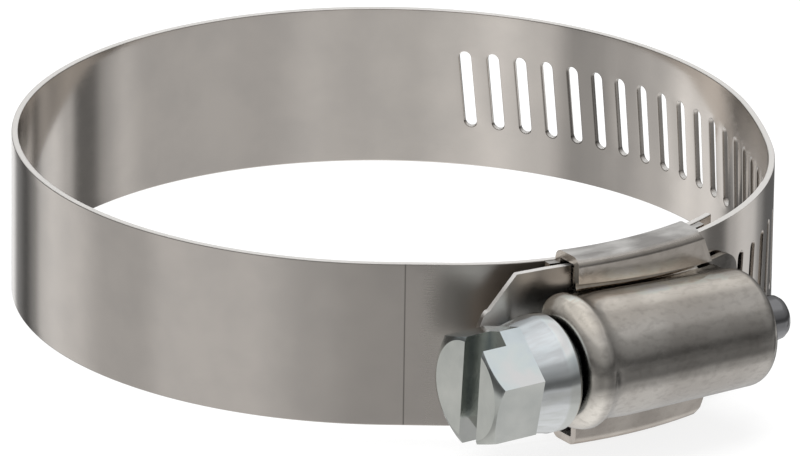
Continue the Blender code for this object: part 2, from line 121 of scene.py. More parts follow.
HOUSE_X1 = 8.5
OPEN_X = -6.4            # the round stands free in front of this
FOOT_X0 = -5.0
FOOT_X1 = 6.2
FOOT_HALF = 6.25
FOOT_FILLET = 0.35
HEEL_X1 = 11.2           # low rounded foot right of the tabs
HEEL_HALF = 4.2
HEEL_ROUND = 2.2         # length of its rounded end
HEEL_NARROW = 1.9        # and how much narrower it gets there
TAB_X0 = -5.2
TAB_X1 = 5.8
TAB_SKEW = 1.1           # how far the right end of a leg slants outward
TAB_LEG = 1.35           # length of a tab's folded leg at its left end
TAB_GROW = 0.65          # and how much longer it is at its right end
TAB_GAP = 0.4            # room between the band's edge and the tab
TAB_BEND = 0.45          # bend radius of the sheet's middle
SADDLE_T = 0.6
SADDLE_X0 = -6.0
SADDLE_X1 = 8.4

ZC = BAND_H / 2          # middle of the band
AXIS_Z = ZC + AXIS_UP
MEAN = BAND_T / 2
STRIP_M = STRIP_R - MEAN
LOOP_M = LOOP_R - MEAN
CENTRE = APEX - STRIP_R  # the strip's arc is about a point this far from the bore's centre
END_T = STRIP_END / STRIP_M
SLANT = PITCH / (2 * math.pi * (AXIS_OUT - APEX))   # lean of the slots, as the thread's lead

# the screw's joint gives where the ring sits in the frame
JOINTS = {j["name"]: j for j in frame["joints"]}
SCREW = Vector(JOINTS["screw_turn"]["pos_m"]) / MM
ORIGIN = Vector((SCREW.x, SCREW.y + AXIS_OUT, SCREW.z - AXIS_Z))


def rad(a):
    """Degrees to radians."""
    return math.radians(a)


def normal(t):
    """Outward direction on the band where its heading is t."""
    return (math.sin(t), -math.cos(t))


def heading(t):
    """Unit vector along the band at angle t from +X."""
    return (math.cos(t), math.sin(t))


def world(p):
    """A point in millimetres about the ring's centre, in the frame's metres."""
    return (Vector(p) + ORIGIN) * MM


# ---- the run of the band, middle of its thickness ----
DIFF = LOOP_M - STRIP_M
EASE_D = (DIFF ** 2 - CENTRE ** 2) / (2 * DIFF - 2 * CENTRE * math.cos(END_T))
EASE_R = STRIP_M + EASE_D
EASE_C = (-EASE_D * normal(END_T)[0], -CENTRE - EASE_D * normal(END_T)[1])
LOOP_T = math.atan2(-EASE_C[0], EASE_C[1])
FIXED_M = APEX - 2 * BAND_T - 2 * LAYER - MEAN
COS_TURN = math.cos(rad(TURN))
TURN_R = (LOOP_M - FIXED_M * COS_TURN) / (1 - COS_TURN)
TURN_C = -(FIXED_M - TURN_R)
LOOP_OUT = (LOOP_M * normal(-rad(TURN))[0], LOOP_M * normal(-rad(TURN))[1])
TURN_IN = (TURN_R * normal(-rad(TURN))[0], TURN_C + TURN_R * normal(-rad(TURN))[1])
STRAIGHT = math.dist(LOOP_OUT, TURN_IN)
# radius and length of each stretch after the strip's own arc; radius 0 is straight
CHAIN = [
    (EASE_R, EASE_R * (LOOP_T - END_T)),
    (LOOP_M, LOOP_M * (2 * math.pi - rad(TURN) - LOOP_T)),
    (0, STRAIGHT),
    (TURN_R, TURN_R * rad(TURN)),
    (STRIP_M - 2 * (BAND_T + LAYER), FIXED_RUN),
]
FIXED_S = STRIP_END + CHAIN[0][1] + CHAIN[1][1] + STRAIGHT / 2
BAND_END = STRIP_END + sum(length for radius, length in CHAIN)


def along_arc(x, y, t, radius, length):
    """Point and heading after a stretch of arc, or of straight band if the radius is 0."""
    if radius == 0:
        return x + heading(t)[0] * length, y + heading(t)[1] * length, t
    end = t + length / radius
    return (x + radius * (normal(end)[0] - normal(t)[0]),
            y + radius * (normal(end)[1] - normal(t)[1]), end)


def on_arc(s):
    """Point and heading on the arc that runs through the housing."""
    t = s / STRIP_M
    return (STRIP_M * normal(t)[0], -CENTRE + STRIP_M * normal(t)[1]), t


def on_tail(s):
    """Point and heading on the free end, which leaves the arc and kicks outward."""
    (x, y), t = on_arc(-TAIL_ARC)
    back = -TAIL_ARC - s
    step = min(back, TAIL_BEND_R * rad(TAIL_KICK))
    x, y, t = along_arc(x, y, t, -TAIL_BEND_R, -step)
    x, y, t = along_arc(x, y, t, 0, step - back)
    return (x, y), t


def on_band(s):
    """Point and heading on the band; s is 0 under the worm and grows round to the fixed end."""
    if s < -TAIL_ARC:
        return on_tail(s)
    if s <= STRIP_END:
        return on_arc(s)
    (x, y), t = on_arc(STRIP_END)
    left = s - STRIP_END
    for radius, length in CHAIN:
        step = min(left, length)
        x, y, t = along_arc(x, y, t, radius, step)
        left -= step
        if left <= 1e-9:
            break
    return (x, y), t


# ---- mesh helpers ----
WELD = 0.000002          # points closer than this, in metres, are one


def link(name, mesh, mat):
    """New object in the scene with one material."""
    obj = bpy.data.objects.new(name, mesh)
    bpy.context.scene.collection.objects.link(obj)
    mesh.materials.clear()
    mesh.materials.append(mat)
    return obj


def baked(obj):
    """Apply an object's modifiers."""
    graph = bpy.context.evaluated_depsgraph_get()
    mesh = bpy.data.meshes.new_from_object(obj.evaluated_get(graph))
    obj.modifiers.clear()
    old = obj.data
    obj.data = mesh
    bpy.data.meshes.remove(old)
    mesh.name = obj.name


def outward(bm):
    """Turn all faces of a closed body outward."""
    bmesh.ops.recalc_face_normals(bm, faces=bm.faces)
    if bm.calc_volume(signed=True) < 0:
        bmesh.ops.reverse_faces(bm, faces=bm.faces)


def solid(name, verts, faces, mat):
    """Closed body from points in millimetres about the ring's centre."""
    mesh = bpy.data.meshes.new(name)
    mesh.from_pydata([world(v) for v in verts], [], faces)
    bm = bmesh.new()
    bm.from_mesh(mesh)
    bmesh.ops.remove_doubles(bm, verts=bm.verts, dist=WELD)
    outward(bm)
    bm.to_mesh(mesh)
    bm.free()
    return link(name, mesh, mat)


def loft(name, rings, mat):
    """Closed body through rings of points, with flat ends."""
    n = len(rings[0])
    verts = [p for ring in rings for p in ring]
    faces = []
    for i in range(len(rings) - 1):
        for j in range(n):
            k = (j + 1) % n
            faces.append((i * n + j, i * n + k, (i + 1) * n + k, (i + 1) * n + j))
    faces.append(tuple(range(n - 1, -1, -1)))
    faces.append(tuple(range((len(rings) - 1) * n, len(rings) * n)))
    return solid(name, verts, faces, mat)


def turned(name, profile, mat, sides=96):
    """Solid of revolution about the screw's axis; profile is a list of (x, radius)."""
    rings = []
    for x, r in profile:
        ring = []
        for i in range(sides):
            a = 2 * math.pi * i / sides
            ring.append((x, -AXIS_OUT + r * math.cos(a), AXIS_Z + r * math.sin(a)))
        rings.append(ring)
    return loft(name, rings, mat)


def boolean(obj, other, operation):
    """Combine obj with other, which is used up."""
    mod = obj.modifiers.new(operation.lower(), 'BOOLEAN')
    mod.operation = operation
    mod.object = other
    mod.solver = 'EXACT'
    baked(obj)
    bpy.data.objects.remove(other, do_unlink=True)


def soften(obj, width, segments=3, angle=30):
    """Round the sharp edges and shade the faces between them flat."""
    obj.data.shade_smooth()
    mod = obj.modifiers.new('edges', 'BEVEL')
    mod.width = width * MM
    mod.segments = segments
    mod.limit_method = 'ANGLE'
    mod.angle_limit = rad(angle)
    weigh_normals(obj)


def weigh_normals(obj):
    """Keep flat faces flat beside their rounded edges."""
    mod = obj.modifiers.new('normals', 'WEIGHTED_NORMAL')
    mod.keep_sharp = True
    baked(obj)


# ---- band ----
CAP = SLOT_W / 2
SIDE = SLOT_L / 2 - CAP          # half height of the straight sides of a slot
RIM = 1.0                        # height of the ring of faces above a slot's rounded end
MARGIN = 0.9                     # height of the rows of faces along the band's edges
# heights of the rows of points across the band
LEVELS = (
    [0.0, MARGIN, 2 * MARGIN] + [ZC - SIDE - RIM, ZC - SIDE - RIM / 2]
    + [ZC + SIDE * f for f in (-1, -0.5, 0, 0.5, 1)]
    + [ZC + SIDE + RIM / 2, ZC + SIDE + RIM] + [BAND_H - 2 * MARGIN, BAND_H - MARGIN, BAND_H])


def border(s, lean):
    """Column of points across the band at s, leaning by lean per millimetre of height."""
    return [(s + (z - ZC) * lean, z) for z in LEVELS]


def slot_border(k):
    """The line between slot k and slot k + 1."""
    return (k + 0.5) * PITCH + SLOT_PHASE


def slot_cell(s):
    """Faces in (s, z) round one slot that leans with the worm thread."""
    cap = ZC + SIDE

    def lean(x, z):
        """Point x beside the slot's leaning middle line, at height z."""
        return (s + x + (z - ZC) * SLANT, z)

    inner = []
    outer = []
    half = PITCH / 2
    for f in (-1, -0.5, 0, 0.5):
        inner.append(lean(CAP, ZC + SIDE * f))
        outer.append(lean(half, ZC + SIDE * f))
    walk = [(half, 0), (half, RIM / 2), (half, RIM), (half * 2 / 3, RIM), (half / 3, RIM), (0, RIM)]
    top = walk + [(-half / 3, RIM)] + [(-x, z) for x, z in walk[3:0:-1]]
    for i, (x, z) in enumerate(top):
        a = math.pi * i / len(top)
        inner.append(lean(CAP * math.cos(a), cap + CAP * math.sin(a)))
        outer.append(lean(x, cap + z))
    n = len(inner)
    inner += [(2 * s - x, 2 * ZC - z) for x, z in inner]
    outer += [(2 * s - x, 2 * ZC - z) for x, z in outer]
    cells = []
    for i in range(2 * n):
        k = (i + 1) % (2 * n)
        cells.append([inner[i], inner[k], outer[k], outer[i]])
    across = [half, half * 2 / 3, half / 3, 0, -half / 3, -half * 2 / 3, -half]
    heights = [z for z in LEVELS if z >= cap + RIM - 1e-6]
    for z0, z1 in zip(heights, heights[1:]):
        for x0, x1 in zip(across, across[1:]):
            cell = [lean(x0, z0), lean(x1, z0), lean(x1, z1), lean(x0, z1)]
            cells.append(cell)
            cells.append([(2 * s - x, 2 * ZC - z) for x, z in cell])
    return cells


def plain_cells(s0, s1, lean0=0.0, lean1=0.0, step=0.8):
    """Faces in (s, z) of plain band from s0 to s1."""
    count = max(1, round((s1 - s0) / step))
    cells = []
    for i in range(count):
        f0 = i / count
        f1 = (i + 1) / count
        a = border(s0 + (s1 - s0) * f0, lean0 + (lean1 - lean0) * f0)
        b = border(s0 + (s1 - s0) * f1, lean0 + (lean1 - lean0) * f1)
        for j in range(len(LEVELS) - 1):
            cells.append([a[j], b[j], b[j + 1], a[j + 1]])
    return cells


def tail_cells():
    """The strip's free end: its corners cut off at a slant, then a rounded nose."""
    s1 = slot_border(FIRST_SLOT - 1)
    s0 = -TAIL_LEN
    cut = [(s0 + CORNER_LENGTH + NOSE_LENGTH, 0.0), (s0 + 2.0, CORNER_CUT / 2),
           (s0 + NOSE_LENGTH, CORNER_CUT)]
    steps = 6
    for i in range(1, steps + 1):
        a = math.pi / 2 * i / steps
        cut.append((s0 + NOSE_LENGTH * (1 - math.sin(a)),
                    CORNER_CUT + NOSE_CUT * (1 - math.cos(a))))
    # (place along the strip, how far the column stops short of each edge, its lean)
    columns = [(s1, 0.0, SLANT), (s1 - 0.9, 0.0, SLANT * 0.5), (s1 - 1.9, 0.0, 0.0)]
    columns += [(s, z, 0.0) for s, z in cut]
    cells = []
    lines = []
    for s, inset, lean in columns:
        f = (BAND_H - 2 * inset) / BAND_H
        lines.append([(s + (z - ZC) * lean, ZC + (z - ZC) * f) for z in LEVELS])
    for a, b in zip(lines, lines[1:]):
        for j in range(len(LEVELS) - 1):
            cells.append([b[j], a[j], a[j + 1], b[j + 1]])
    return cells


def band_piece(name, cells, ends, mat, tilt=None):
    """Bend flat cells in (s, z) along the band and give them thickness and rounded edges.

    ends are the places along s where the strip carries on in the next piece."""
    bm = bmesh.new()
    known = {}

    def vert(p):
        """The one vertex at a flat point."""
        key = (round(p[0], 4), round(p[1], 4))
        if key not in known:
            known[key] = bm.verts.new((p[0], 0, p[1]))
        return known[key]

    for cell in cells:
        ring = []
        for p in cell:
            v = vert(p)
            if v not in ring:
                ring.append(v)
        bm.faces.new(ring)
    bmesh.ops.recalc_face_normals(bm, faces=bm.faces)
    if bm.faces[:][0].normal.y > 0:
        bmesh.ops.reverse_faces(bm, faces=bm.faces)
    made = bmesh.ops.extrude_face_region(bm, geom=bm.faces[:], use_keep_orig=True)
    for g in made['geom']:
        if isinstance(g, bmesh.types.BMVert):
            g.co.y = 1.0
    for v in bm.verts:
        v.co.y = (v.co.y - 0.5) * BAND_T
    outward(bm)

    def open_end(edge):
        """Whether an edge lies where the strip carries on in the next piece."""
        for s, lean in ends:
            if all(abs(v.co.x - s - (v.co.z - ZC) * lean) < 0.01 for v in edge.verts):
                return True
        return False

    sharp = []
    for e in bm.edges:
        if len(e.link_faces) == 2 and e.calc_face_angle(0.0) > 1.0 and not open_end(e):
            sharp.append(e)
    bmesh.ops.bevel(bm, geom=sharp, offset=BAND_EDGE, segments=2, profile=0.5, affect='EDGES',
                    clamp_overlap=True)
    for f in bm.faces:
        if abs(f.normal.x) > 0.9 and all(open_end(e) for e in f.edges):
            for e in f.edges:
                e.smooth = False
    mesh = bpy.data.meshes.new(name)
    bm.to_mesh(mesh)
    bm.free()
    obj = link(name, mesh, mat)
    mesh.shade_smooth()
    weigh_normals(obj)
    bend(obj.data, tilt)
    return obj


def bend(mesh, tilt):
    """Lay a flat mesh along the band and turn its corner normals with it."""
    normals = [Vector(n.vector) for n in mesh.corner_normals]
    turns = []
    for v in mesh.vertices:
        (x, y), t = on_band(v.co.x)
        n = normal(t)
        out = (tilt(v.co.x, v.co.z) if tilt else 0.0) - v.co.y
        turns.append(t)
        v.co = world((x + n[0] * out, y + n[1] * out, v.co.z))
    turned_normals = []
    for lp, n in zip(mesh.loops, normals):
        t = turns[lp.vertex_index]
        h = heading(t)
        o = normal(t)
        turned_normals.append((h[0] * n.x - o[0] * n.y, h[1] * n.x - o[1] * n.y, n.z))
    mesh.normals_split_custom_set(turned_normals)


def tail_tilt(s, z):
    """The free end leans out at its top edge."""
    f = min(1.0, max(0.0, (-TAIL_FLAT - s) / (TAIL_LEN - TAIL_FLAT)))
    return TAIL_LEAN * f * f * (z - ZC + 2.0) / ZC


def build_band(mat):
    """One strip in pieces, each cut round one of the flex lines."""
    flex = [STRIP_END, slot_border(21), slot_border(30)]
    spread = (FIXED_S - flex[2]) / 5
    flex += [flex[2] + spread * i for i in range(1, 6)]
    cuts = [slot_border(8), slot_border(16), slot_border(25)]
    cuts += [(flex[i] + flex[i + 1]) / 2 for i in range(2, 7)]
    cuts.append(FIXED_S + 5.0)

    cells = tail_cells()
    for k in range(FIRST_SLOT, 9):
        cells += slot_cell(k * PITCH + SLOT_PHASE)
    tail = band_piece('strip_tail', cells, [(cuts[0], SLANT)], mat, tail_tilt)
    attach(tail, "strip")
    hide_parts("band_tail_strip")

    names = ['strip_bend', 'slotted_bend_1', 'slotted_bend_2']
    names += ['plain_bend_%d' % i for i in range(1, 6)]
    for i, name in enumerate(names):
        s0 = cuts[i]
        s1 = cuts[i + 1]
        cells = []
        lean0 = SLANT if i < 3 else 0.0
        lean1 = SLANT if i < 2 else 0.0
        if i < 3:
            first = round((s0 - SLOT_PHASE) / PITCH + 0.5)
            last = min(LAST_SLOT, round((s1 - SLOT_PHASE) / PITCH - 0.5))
            for k in range(first, last + 1):
                cells += slot_cell(k * PITCH + SLOT_PHASE)
            if last == LAST_SLOT:
                cells += plain_cells(slot_border(LAST_SLOT), s1, SLANT, 0.0)
        else:
            cells = plain_cells(s0, s1)
        piece = band_piece(name, cells, [(s0, lean0), (s1, lean1)], mat)
        a = on_band(flex[i] - min(FLEX_REACH, flex[i] - s0))[0]
        b = on_band(flex[i] + min(FLEX_REACH, s1 - flex[i]))[0]
        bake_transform(piece)
        if i < 7:
            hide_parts("band_link_%d" % (i + 1))
    cells = plain_cells(cuts[8], BAND_END)
    fixed = band_piece('fixed_end_strip', cells, [(cuts[8], 0.0)], mat)
    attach(fixed, "fixed_end")
    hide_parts("band_fixed_end")


# ---- saddle ----
def arc_depth(x, radius):
    """Distance of an arc of the stack from the bore's centre, across the screw, at x."""
    return CENTRE + math.sqrt(radius * radius - x * x)


def slab_ring(x, radius, thickness, half):
    """Outline of a flat sheet whose outer face follows an arc, half as high each way."""
    out = arc_depth(x, radius)
    return [(x, -out, ZC - half), (x, -out + thickness, ZC - half),
            (x, -out + thickness, ZC + half), (x, -out, ZC + half)]


def bent_outline(points, thickness, radius, steps=6):
    """Outline of a bent sheet from its centre line in (n, z), with round bends and edges."""
    left = []
    right = []
    count = len(points)
    for i, p in enumerate(points):
        if i in (0, count - 1):
            q = points[1] if i == 0 else points[-2]
            d = Vector((q[0] - p[0], q[1] - p[1])).normalized()
            if i:
                d = -d
            side = Vector((-d.y, d.x)) * thickness / 2
            left.append((p[0] + side.x, p[1] + side.y))
            right.append((p[0] - side.x, p[1] - side.y))
            continue
        u = Vector((points[i - 1][0] - p[0], points[i - 1][1] - p[1])).normalized()
        v = Vector((points[i + 1][0] - p[0], points[i + 1][1] - p[1])).normalized()
        c = Vector(p) + (u + v) * radius
        turn = u.x * v.y - u.y * v.x
        for k in range(steps + 1):
            f = math.pi / 2 * k / steps
            e = -v * math.cos(f) - u * math.sin(f)
            far = c + e * (radius + thickness / 2)
            near = c + e * (radius - thickness / 2)
            left.append(tuple(far if turn > 0 else near))
            right.append(tuple(near if turn > 0 else far))
    return left + right[::-1]


def tab_ring(x):
    """Outline of the saddle with both tabs folded over, at x."""
    sheet = arc_depth(x, STRIP_R - BAND_T - LAYER) - SADDLE_T / 2
    leg = arc_depth(x, STRIP_R + 2 * LAYER + WALL + SADDLE_T / 2)
    hi = BAND_H + TAB_GAP + SADDLE_T / 2
    lo = BAND_H - hi
    f = (x - TAB_X0) / (TAB_X1 - TAB_X0)
    reach = SADDLE_T / 2 + TAB_LEG + TAB_GROW * f
    line = [(leg, hi - reach), (leg, hi), (sheet, hi), (sheet, lo), (leg, lo), (leg, lo + reach)]
    ring = []
    for n, z in bent_outline(line, SADDLE_T, TAB_BEND):
        down = (hi - ZC - abs(z - ZC)) / TAB_LEG if n > leg - SADDLE_T else 0.0
        ring.append((x + TAB_SKEW * f * min(1.0, max(0.0, down)), -n, z))
    return ring


def build_saddle(mat):
    """Both tabs on their sheet, and the longer sheet under the strip."""
    steps = 24
    rings = [tab_ring(TAB_X0 + (TAB_X1 - TAB_X0) * i / steps) for i in range(steps + 1)]
    obj = loft('saddle_tabs', rings, mat)
    rings = []
    for i in range(steps + 1):
        x = SADDLE_X0 + (SADDLE_X1 - SADDLE_X0) * i / steps
        rings.append(slab_ring(x, STRIP_R - BAND_T - LAYER, SADDLE_T, ZC))
    boolean(obj, loft('saddle_sheet', rings, mat), 'UNION')
    soften(obj, 0.09)
    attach(obj, "housing_and_saddle")
    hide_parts("saddle")


# ---- housing: one sheet, rolled over the screw and out to the feet, with a heel ----
def dome(x):
    """Radius and height of the centre of the round part: a rolled lip, a waist, then a taper."""
    f = (x - HOUSE_X0) / (HOUSE_X1 - HOUSE_X0)
    radius = DOME_R0 + (DOME_R1 - DOME_R0) * f
    for height, place, width in (LIP, WAIST):
        radius += height * math.exp(-((x - HOUSE_X0 - place) / width) ** 2)
    return radius, ZC + DOME_UP0 + (DOME_UP1 - DOME_UP0) * f


def housing_rows():
    """(x, radius, centre height) of the round from the neck hole along the body to the tip hole."""
    first = HOUSE_X0 + SHOULDER
    last = HOUSE_X1 - REAR_BEND
    radius, up = dome(first)
    middle = (NECK_HOLE_R + radius - SHOULDER) / 2
    rows = [(HOUSE_X0, NECK_HOLE_R, AXIS_Z), (HOUSE_X0, middle, (AXIS_Z + up) / 2)]
    steps = 14
    for i in range(steps + 1):
        a = math.pi / 2 * i / steps
        rows.append((HOUSE_X0 + SHOULDER * (1 - math.cos(a)),
                     radius - SHOULDER * (1 - math.sin(a)), up))
    steps = 46
    for i in range(1, steps):
        x = first + (last - first) * i / steps
        rows.append((x, *dome(x)))
    radius, up = dome(last)
    steps = 10
    for i in range(steps + 1):
        a = math.pi / 2 * i / steps
        rows.append((HOUSE_X1 - REAR_BEND * (1 - math.sin(a)),
                     radius - REAR_BEND * (1 - math.cos(a)), up))
    rows.append((HOUSE_X1, (TIP_HOLE_R + radius - REAR_BEND) / 2, (AXIS_Z + up) / 2))
    rows.append((HOUSE_X1, TIP_HOLE_R, AXIS_Z))
    return rows


def housing_section(x, radius, centre):
    """Outer face from one foot's edge over the round to the other: (n, z, part) points."""
    wrap = rad(DOME_WRAP)
    floor = arc_depth(x, STRIP_R + LAYER + WALL)
    neck = (AXIS_OUT + radius * math.cos(wrap), radius * math.sin(wrap))
    fillet = max(0.05, min(FOOT_FILLET, neck[0] - floor - 0.02))
    points = []
    for sign in (-1, 1):
        edge = ZC + sign * FOOT_HALF
        root = centre + sign * (neck[1] + fillet)
        side = [(floor, edge + (root - edge) * f, 'foot') for f in (0.0, 0.33, 0.66)]
        for i in range(7):
            a = math.pi / 2 * i / 6
            side.append((floor + fillet * (1 - math.cos(a)),
                         centre + sign * (neck[1] + fillet * (1 - math.sin(a))),
                         'foot' if i < 6 else 'leg'))
        points += side[::-sign]
        if sign < 0:
            for i in range(65):
                a = -wrap + 2 * wrap * i / 64
                points.append((AXIS_OUT + radius * math.cos(a), centre + radius * math.sin(a),
                               'round'))
    return points


def heel_piece(mat):
    """The low foot right of the tabs, rounded off at its end, on the strip."""
    rings = []
    start = FOOT_X1 - 0.15
    steps = 30
    for i in range(steps + 1):
        x = start + (HEEL_X1 - start) * i / steps
        f = max(0.0, (x - HEEL_X1 + HEEL_ROUND) / HEEL_ROUND)
        reach = HEEL_HALF - HEEL_NARROW * (1 - math.sqrt(max(0.0, 1 - f * f)))
        rings.append(slab_ring(x, STRIP_R + LAYER + WALL, WALL, reach))
    return loft('heel', rings, mat)


def build_housing(mat):
    """Outer skin through the sections, thickened inward, with the heel joined on."""
    rows = housing_rows()
    sections = [housing_section(*row) for row in rows]
    width = len(sections[0])
    verts = [(row[0], -n, z) for row, section in zip(rows, sections) for n, z, _ in section]
    faces = []
    for i in range(len(rows) - 1):
        x = (rows[i][0] + rows[i + 1][0]) / 2
        for j in range(width - 1):
            parts = (sections[i][j][2], sections[i][j + 1][2])
            if 'foot' in parts and not FOOT_X0 < x < FOOT_X1:
                continue
            if 'leg' in parts and 'foot' not in parts and not OPEN_X < x < HOUSE_X1 - 0.01:
                continue
            faces.append((i * width + j, i * width + j + 1, (i + 1) * width + j + 1,
                          (i + 1) * width + j))
    mesh = bpy.data.meshes.new('housing_shell')
    mesh.from_pydata([world(v) for v in verts], [], faces)
    bm = bmesh.new()
    bm.from_mesh(mesh)
    bmesh.ops.delete(bm, geom=[v for v in bm.verts if not v.link_faces], context='VERTS')
    bmesh.ops.remove_doubles(bm, verts=bm.verts, dist=WELD)
    bmesh.ops.recalc_face_normals(bm, faces=bm.faces)
    top = max(bm.faces, key=lambda f: -f.calc_center_median().y)
    if top.normal.y > 0:
        bmesh.ops.reverse_faces(bm, faces=bm.faces)
    bm.to_mesh(mesh)
    bm.free()
    obj = link('housing_shell', mesh, mat)
    thick = obj.modifiers.new('sheet', 'SOLIDIFY')
    thick.thickness = WALL * MM
    thick.offset = -1
    thick.use_even_offset = True
    baked(obj)
    boolean(obj, heel_piece(mat), 'UNION')
    soften(obj, 0.12)
    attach(obj, "housing_and_saddle")
    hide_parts("housing")


# ---- screw ----
# chamfer of the hexagon: (distance from its face, radius beyond its corners)
CHAMFER = ((0, -0.85), (0.1, -0.6), (0.25, -0.3), (0.45, 0), (0.7, 0.1))
# neck, core of the worm and rounded tip: (x, radius)
SHANK = (
    (COLLAR_X1 - 0.2, NECK_R), (-7.4, NECK_R), (-7.2, ROOT_R), (6.9, ROOT_R), (7.15, 2.5),
    (7.3, 1.75), (TIP_X - 0.95, TIP_R), (TIP_X - 0.6, TIP_R * 0.97),
    (TIP_X - 0.3, TIP_R * 0.86), (TIP_X - 0.1, TIP_R * 0.7), (TIP_X, TIP_R * 0.45))
# section of the thread: (distance along the screw, share of its height)
THREAD = ((-0.70, 0), (-0.42, 0.6), (-0.30, 0.93), (-0.18, 1), (0.18, 1), (0.30, 0.93),
          (0.42, 0.6), (0.70, 0))


def hex_bar(mat):
    """The hexagon with the turned chamfer on its face."""
    corner = HEAD_AF / 2 / math.cos(math.pi / 6)
    rings = []
    for x in (HEAD_X0, COLLAR_X0 + 0.5):
        ring = []
        for i in range(6):
            a = rad(HEX_TURN + 60 * i)
            ring.append((x, -AXIS_OUT - corner * math.cos(a), AXIS_Z + corner * math.sin(a)))
        rings.append(ring)
    head = loft('hex', rings, mat)
    profile = [(HEAD_X0 + x, corner + r) for x, r in CHAMFER]
    profile.append((COLLAR_X0 + 0.8, profile[-1][1]))
    boolean(head, turned('chamfer', profile, mat), 'INTERSECT')
    return head


def build_screw(mat):
    """Slotted hexagon head with cone and collar, then the shank and the worm."""
    head = hex_bar(mat)
    edge = COLLAR_X0 + COLLAR_CONE
    boolean(head, turned('collar', [
        (COLLAR_X0 - 0.1, COLLAR_R - 0.95), (COLLAR_X0, COLLAR_R - 0.55), (edge, COLLAR_R - 0.05),
        (edge + 0.15, COLLAR_R), (COLLAR_X1 - 0.35, COLLAR_R), (COLLAR_X1, COLLAR_R - 0.25)],
        mat), 'UNION')
    a = rad(DRIVE_TURN)
    along = (math.cos(a), math.sin(a))
    across = (-math.sin(a), math.cos(a))
    rings = []
    for x in (HEAD_X0 - 1, HEAD_X0 + DRIVE_D):
        ring = []
        for f, g in ((-6, -1), (6, -1), (6, 1), (-6, 1)):
            side = g * DRIVE_W / 2 - DRIVE_OFF
            y = -AXIS_OUT - along[0] * f - across[0] * side
            z = AXIS_Z + along[1] * f + across[1] * side
            ring.append((x, y, z))
        rings.append(ring)
    boolean(head, loft('drive', rings, mat), 'DIFFERENCE')
    head.name = 'screw_head'
    soften(head, 0.11, 3, 20)
    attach(head, "screw")
    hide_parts("worm_screw")

    shank = turned('screw_shank', SHANK, mat)
    soften(shank, 0.05, 2, 40)
    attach(shank, "screw")
    build_worm(mat)


def build_worm(mat):
    """The thread that pushes the strip's slots; it runs out at both ends."""
    rings = []
    count = round((THREAD_X1 - THREAD_X0) / PITCH * 60)
    root = ROOT_R - 0.1
    for i in range(count + 1):
        x = THREAD_X0 + (THREAD_X1 - THREAD_X0) * i / count
        a = 2 * math.pi * (x - SLOT_PHASE) / PITCH
        fade = min(1.0, x - THREAD_X0 + 0.12, THREAD_X1 - x + 0.12)
        ring = []
        for dx, f in THREAD:
            r = root + (WORM_R - root) * fade * f
            ring.append((x + dx, -AXIS_OUT + r * math.cos(a), AXIS_Z + r * math.sin(a)))
        rings.append(ring)
    worm = loft('worm_thread', rings, mat)
    worm.data.shade_smooth()
    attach(worm, "screw")


# ---- materials ----
def shader(name, metallic=1.0):
    """New node material; returns it with its nodes, links and Principled shader."""
    mat = bpy.data.materials.new(name)
    mat.use_nodes = True
    nodes = mat.node_tree.nodes
    links = mat.node_tree.links
    bsdf = nodes['Principled BSDF']
    bsdf.inputs['Metallic'].default_value = metallic
    return mat, nodes, links, bsdf


def set_socket(links, socket, value):
    """Give a socket a number, a colour or a link."""
    if isinstance(value, (int, float)):
        socket.default_value = value
    elif isinstance(value, tuple):
        socket.default_value = (*value, 1.0)
    else:
        links.new(value, socket)


def math_node(nodes, links, operation, *values):
    """Result of a maths node; each value is a number or a socket."""
    node = nodes.new('ShaderNodeMath')
    node.operation = operation
    for socket, value in zip(node.inputs, values):
        set_socket(links, socket, value)
    return node.outputs['Value']


def range_node(nodes, links, value, a, b, to_a=0.0, to_b=1.0):
    """Map the range from a to b onto to_a to to_b, and clamp."""
    node = nodes.new('ShaderNodeMapRange')
    node.inputs['From Min'].default_value = a
    node.inputs['From Max'].default_value = b
    node.inputs['To Min'].default_value = to_a
    node.inputs['To Max'].default_value = to_b
    links.new(value, node.inputs['Value'])
    return node.outputs['Result']


def colour_mix(nodes, links, factor, a, b, blend='MIX'):
    """Mix two colours; sockets 0, 6 and 7 are the factor and the colours of an RGBA mix."""
    node = nodes.new('ShaderNodeMix')
    node.data_type = 'RGBA'
    node.blend_type = blend
    for index, value in ((0, factor), (6, a), (7, b)):
        set_socket(links, node.inputs[index], value)
    return node.outputs[2]


def tinted(nodes, links, factor, colour, tint):
    """The colour times the tint, where factor says so."""
    return colour_mix(nodes, links, factor, colour,
                      colour_mix(nodes, links, 1.0, colour, tint, 'MULTIPLY'))


def components(nodes, links, vector):
    """X, Y and Z of a vector socket."""
    split = nodes.new('ShaderNodeSeparateXYZ')
    links.new(vector, split.inputs['Vector'])
    return split.outputs['X'], split.outputs['Y'], split.outputs['Z']


def turn_share(nodes, links, x, y, start):
    """Angle of a direction about Z as a share of a turn, 0 at the start given as a share."""
    around = math_node(nodes, links, 'ARCTAN2', y, x)
    turns = math_node(nodes, links, 'MULTIPLY_ADD', around, 1 / (2 * math.pi), 1.0 + start)
    return math_node(nodes, links, 'FRACT', turns)


def ramp(nodes, links, value, stops, full, top=1.0):
    """Grey ramp through (place, brightness) stops; places run to full, brightness to top."""
    node = nodes.new('ShaderNodeValToRGB')
    node.color_ramp.interpolation = 'EASE'
    elements = node.color_ramp.elements
    while len(elements) > 1:
        elements.remove(elements[-1])
    for i, (at, grey) in enumerate(stops):
        e = elements[0] if i == 0 else elements.new(at / full)
        e.position = at / full
        e.color = (*[grey / top] * 3, 1)
    links.new(value, node.inputs['Fac'])
    if top == 1.0:
        return node.outputs['Color']
    return colour_mix(nodes, links, 1.0, node.outputs['Color'], (top, top, top), 'MULTIPLY')


